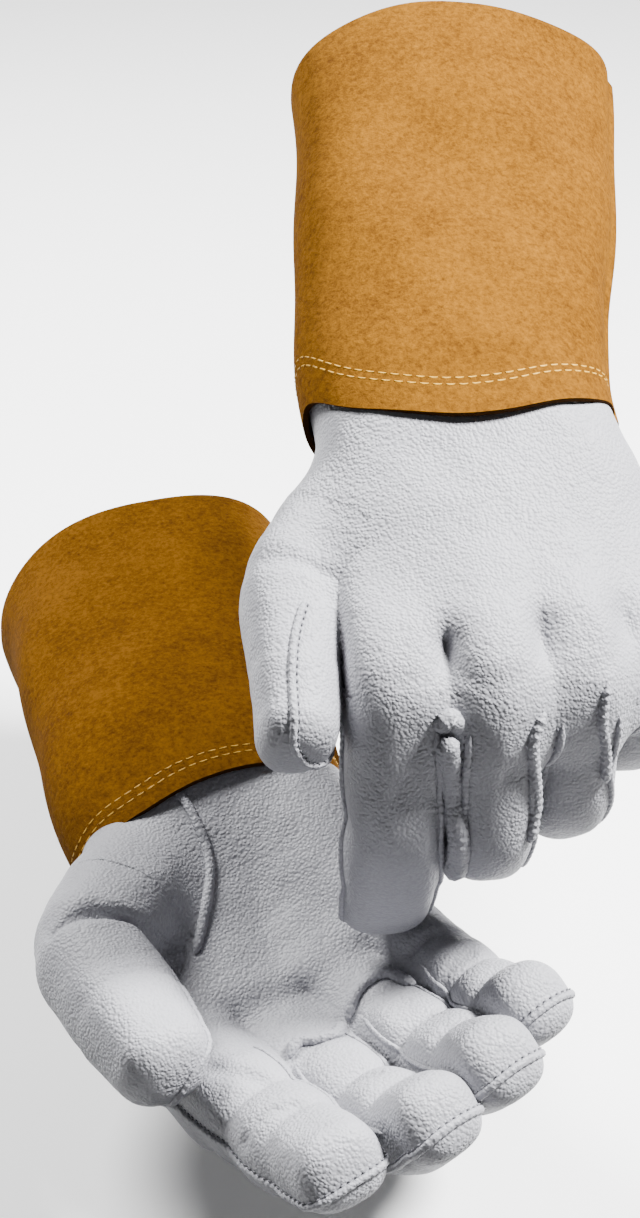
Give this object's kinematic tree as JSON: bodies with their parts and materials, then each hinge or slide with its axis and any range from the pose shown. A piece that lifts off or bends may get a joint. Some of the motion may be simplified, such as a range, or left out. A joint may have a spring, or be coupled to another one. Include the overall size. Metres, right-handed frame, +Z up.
{
  "type": "pair of welding gloves",
  "caption": "Pair of gauntlet welding gloves in pale grain leather with gold suede cuffs, seamed fingers and set-in thumbs, posed as worn.",
  "frame": {"origin": "middle of the right cuff's mouth", "axes": "+Y out of the right cuff's mouth along the cuff, +Z up, with the right palm facing up, +X to the viewer's right"},
  "size_m": [0.2198, 0.3338, 0.2879],
  "materials": {
    "leather": "fine pebbled grain, satin",
    "leather_strip": "fine pebbled grain, satin",
    "suede": "napped suede, matt",
    "thread": "twisted thread"
  },
  "bodies": {
    "left_glove": {"left_cuff": "suede", "left_cuff_hem": "suede", "left_cuff_seam_strip": "suede", "left_cuff_thread": "thread", "left_hand_back": "leather", "left_hand_palm": "leather", "left_outseam_welt": "leather_strip", "left_palm_welt": "leather_strip"},
    "left_index": {"left_index_back": "leather", "left_index_front": "leather", "left_index_fourchette_middle_side": "leather_strip"},
    "left_middle": {"left_middle_back": "leather", "left_middle_front": "leather", "left_middle_fourchette_index_side": "leather_strip", "left_middle_fourchette_ring_side": "leather_strip"},
    "left_ring": {"left_ring_back": "leather", "left_ring_front": "leather", "left_ring_fourchette_middle_side": "leather_strip", "left_ring_fourchette_little_side": "leather_strip"},
    "left_little": {"left_little_back": "leather", "left_little_front": "leather", "left_little_fourchette_ring_side": "leather_strip"},
    "left_thumb": {"left_thumb_back": "leather", "left_thumb_front": "leather"},
    "right_glove": {"right_cuff": "suede", "right_cuff_hem": "suede", "right_cuff_seam_strip": "suede", "right_cuff_thread": "thread", "right_hand_back": "leather", "right_hand_palm": "leather", "right_outseam_welt": "leather_strip", "right_palm_welt": "leather_strip"},
    "right_index": {"right_index_back": "leather", "right_index_front": "leather", "right_index_fourchette_middle_side": "leather_strip"},
    "right_middle": {"right_middle_back": "leather", "right_middle_front": "leather", "right_middle_fourchette_index_side": "leather_strip", "right_middle_fourchette_ring_side": "leather_strip"},
    "right_ring": {"right_ring_back": "leather", "right_ring_front": "leather", "right_ring_fourchette_middle_side": "leather_strip", "right_ring_fourchette_little_side": "leather_strip"},
    "right_little": {"right_little_back": "leather", "right_little_front": "leather", "right_little_fourchette_ring_side": "leather_strip"},
    "right_thumb": {"right_thumb_back": "leather", "right_thumb_front": "leather"}
  },
  "joints": [
    {"name": "left_glove_lift", "type": "slide", "parent": "right_glove", "child": "left_glove", "axis": [0, 0, 1], "range_m": [0, 0.2]},
    {"name": "left_index_knuckle", "type": "hinge", "parent": "left_glove", "child": "left_index", "pos_m": [0.05102, -0.23822, 0.09378], "axis": [0.9997, -0.025, -0.0055], "range_deg": [-24, 0]},
    {"name": "left_middle_knuckle", "type": "hinge", "parent": "left_glove", "child": "left_middle", "pos_m": [0.07811, -0.24249, 0.09479], "axis": [0.9997, -0.025, -0.0055], "range_deg": [-22, 6]},
    {"name": "left_ring_knuckle", "type": "hinge", "parent": "left_glove", "child": "left_ring", "pos_m": [0.10365, -0.23704, 0.0943], "axis": [0.9997, -0.025, -0.0055], "range_deg": [-22, 6]},
    {"name": "left_little_knuckle", "type": "hinge", "parent": "left_glove", "child": "left_little", "pos_m": [0.12623, -0.22508, 0.09177], "axis": [0.9997, -0.025, -0.0055], "range_deg": [-24, 5]},
    {"name": "left_thumb_root", "type": "hinge", "parent": "left_glove", "child": "left_thumb", "pos_m": [0.04678, -0.18309, 0.11316], "axis": [0.0181, -0.4408, 0.8974], "range_deg": [-10, 0]},
    {"name": "right_index_knuckle", "type": "hinge", "parent": "right_glove", "child": "right_index", "pos_m": [-0.01033, -0.24378, -0.03469], "axis": [-0.8974, -0.4019, -0.1823], "range_deg": [-12, 8]},
    {"name": "right_middle_knuckle", "type": "hinge", "parent": "right_glove", "child": "right_middle", "pos_m": [0.01694, -0.24073, -0.03535], "axis": [-0.8815, -0.4313, -0.1924], "range_deg": [-12, 12]},
    {"name": "right_ring_knuckle", "type": "hinge", "parent": "right_glove", "child": "right_ring", "pos_m": [0.04072, -0.23268, -0.02814], "axis": [-0.8815, -0.4313, -0.1924], "range_deg": [-14, 12]},
    {"name": "right_little_knuckle", "type": "hinge", "parent": "right_glove", "child": "right_little", "pos_m": [0.06036, -0.22242, -0.01516], "axis": [-0.8815, -0.4313, -0.1924], "range_deg": [-12, 14]},
    {"name": "right_thumb_root", "type": "hinge", "parent": "right_glove", "child": "right_thumb", "pos_m": [-0.02736, -0.19424, -0.00845], "axis": [0.1576, -0.0181, 0.9873], "range_deg": [-8, 2]}
  ]
}
